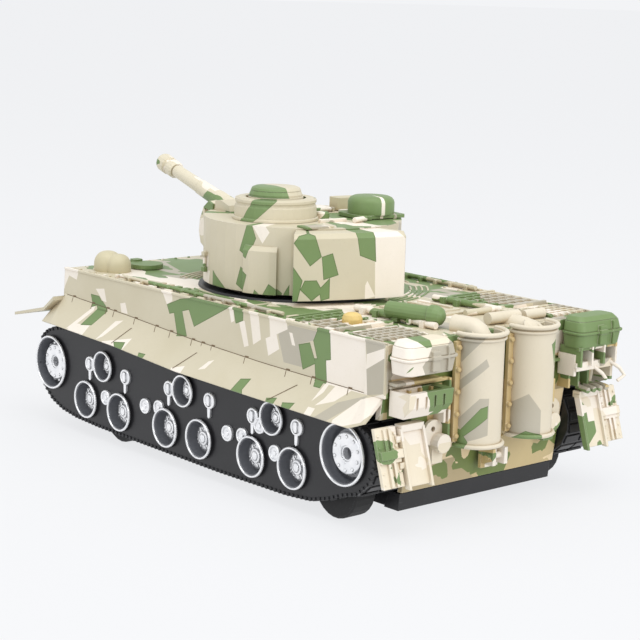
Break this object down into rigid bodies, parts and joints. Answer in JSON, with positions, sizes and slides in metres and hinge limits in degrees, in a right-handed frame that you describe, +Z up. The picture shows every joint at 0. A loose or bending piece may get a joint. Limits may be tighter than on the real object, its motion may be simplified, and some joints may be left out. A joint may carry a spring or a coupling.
{
  "type": "rc tank",
  "caption": "Toy radio-controlled tank with a turning camouflage turret, a pitching gun, plated wheel discs and hidden drive wheels under fixed track panels.",
  "frame": {"origin": "on the ground under the middle of the bounding box", "axes": "+Z up, -Y towards the tank's front, +X towards the tank's left"},
  "size_m": [0.144, 0.2722, 0.125],
  "materials": {
    "camo_plastic": "moulded plastic, satin, three-colour camouflage print",
    "black_plastic": "moulded plastic, semi-gloss",
    "plated_plastic": "vacuum-plated plastic, bright",
    "steel": "plain steel",
    "gear_nylon": "natural nylon",
    "black_rubber": "matte rubber tread",
    "circuit_green": "circuit board",
    "battery_wrap": "shrink wrap",
    "speaker_grey": "moulded plastic and paper cone"
  },
  "bodies": {
    "hull": {"upper_hull_shell": "camo_plastic", "chassis_tray": "black_plastic", "battery_door": "black_plastic", "battery_door_screw": "steel", "switch_body": "steel", "track_panel_left": "black_plastic", "track_panel_right": "black_plastic", "wheel_insert_left": "plated_plastic", "wheel_insert_right": "plated_plastic", "sprocket_disc_left": "plated_plastic", "sprocket_disc_right": "plated_plastic", "idler_disc_left": "plated_plastic", "idler_disc_right": "plated_plastic", "drive_motor_left": "steel", "drive_motor_right": "steel", "front_axle": "steel", "battery_pack": "battery_wrap", "circuit_board": "circuit_green", "speaker": "speaker_grey", "exhaust_shroud_left": "camo_plastic", "exhaust_shroud_right": "camo_plastic", "exhaust_pipe_left": "camo_plastic", "exhaust_pipe_right": "camo_plastic", "air_cleaner_left": "camo_plastic", "air_cleaner_right": "camo_plastic", "slotted_box_left": "camo_plastic", "rear_shelf_right": "camo_plastic", "rear_mudguard_left": "camo_plastic", "rear_mudguard_right": "camo_plastic", "tow_shackle_left": "camo_plastic", "tow_shackle_right": "camo_plastic", "tow_bracket": "camo_plastic", "headlamp_dome_left": "camo_plastic", "headlamp_dome_right": "camo_plastic", "deck_tube": "camo_plastic", "filler_cap": "camo_plastic", "crew_hatch_left": "camo_plastic", "crew_hatch_right": "camo_plastic"},
    "turret": {"turret_shell": "camo_plastic", "turret_base": "black_plastic", "stowage_bin": "camo_plastic", "cupola": "camo_plastic", "loader_cover": "camo_plastic", "roof_vent": "camo_plastic"},
    "gun": {"mantlet": "camo_plastic", "gun_barrel": "camo_plastic", "muzzle_brake": "camo_plastic"},
    "cupola_lid": {"cupola_lid": "camo_plastic"},
    "roof_flap": {"roof_flap": "camo_plastic"},
    "power_switch": {"power_switch": "black_plastic"},
    "drive_wheel_left": {"drive_wheel_left": "black_rubber"},
    "compound_gear_left": {"compound_gear_left": "gear_nylon"},
    "motor_pinion_left": {"motor_pinion_left": "gear_nylon"},
    "front_wheel_left": {"front_wheel_left": "black_rubber"},
    "drive_wheel_right": {"drive_wheel_right": "black_rubber"},
    "compound_gear_right": {"compound_gear_right": "gear_nylon"},
    "motor_pinion_right": {"motor_pinion_right": "gear_nylon"},
    "front_wheel_right": {"front_wheel_right": "black_rubber"}
  },
  "joints": [
    {"name": "turret_yaw", "type": "hinge", "parent": "hull", "child": "turret", "pos_m": [0, -0.00248, 0.078], "axis": [0, 0, 1], "range_deg": [-160, 160]},
    {"name": "gun_pitch", "type": "hinge", "parent": "turret", "child": "gun", "pos_m": [-0.00515, -0.03911, 0.0986], "axis": [-0.9903, 0.1392, 0], "range_deg": [-12.8, 7]},
    {"name": "cupola_lid_spin", "type": "hinge", "parent": "turret", "child": "cupola_lid", "pos_m": [0.01714, -0.00125, 0.116], "axis": [0, 0, 1], "continuous": true},
    {"name": "roof_flap_hinge", "type": "hinge", "parent": "turret", "child": "roof_flap", "pos_m": [-0.01751, -0.0085, 0.1097], "axis": [-0.9903, 0.1392, 0], "range_deg": [0, 95]},
    {"name": "power_switch_slide", "type": "slide", "parent": "hull", "child": "power_switch", "axis": [0, 1, 0], "range_m": [0, 0.004]},
    {"name": "drive_left", "type": "hinge", "parent": "hull", "child": "drive_wheel_left", "pos_m": [0.05, 0.09233, 0.013], "axis": [1, 0, 0], "continuous": true},
    {"name": "compound_left", "type": "hinge", "parent": "hull", "child": "compound_gear_left", "pos_m": [0.0324, 0.08535, 0.01789], "axis": [1, 0, 0], "continuous": true},
    {"name": "pinion_left", "type": "hinge", "parent": "hull", "child": "motor_pinion_left", "pos_m": [0.031, 0.0742, 0.01985], "axis": [1, 0, 0], "continuous": true},
    {"name": "front_left", "type": "hinge", "parent": "hull", "child": "front_wheel_left", "pos_m": [0.055, -0.05817, 0.013], "axis": [1, 0, 0], "continuous": true},
    {"name": "drive_right", "type": "hinge", "parent": "hull", "child": "drive_wheel_right", "pos_m": [-0.05, 0.09233, 0.013], "axis": [1, 0, 0], "continuous": true},
    {"name": "compound_right", "type": "hinge", "parent": "hull", "child": "compound_gear_right", "pos_m": [-0.0324, 0.08535, 0.01789], "axis": [1, 0, 0], "continuous": true},
    {"name": "pinion_right", "type": "hinge", "parent": "hull", "child": "motor_pinion_right", "pos_m": [-0.031, 0.0742, 0.01985], "axis": [1, 0, 0], "continuous": true},
    {"name": "front_right", "type": "hinge", "parent": "hull", "child": "front_wheel_right", "pos_m": [-0.055, -0.05817, 0.013], "axis": [1, 0, 0], "continuous": true}
  ],
  "couplings": [
    {"joint": "compound_left", "follows": "drive_left", "ratio": -2},
    {"joint": "pinion_left", "follows": "drive_left", "ratio": 6},
    {"joint": "compound_right", "follows": "drive_right", "ratio": -2},
    {"joint": "pinion_right", "follows": "drive_right", "ratio": 6}
  ]
}
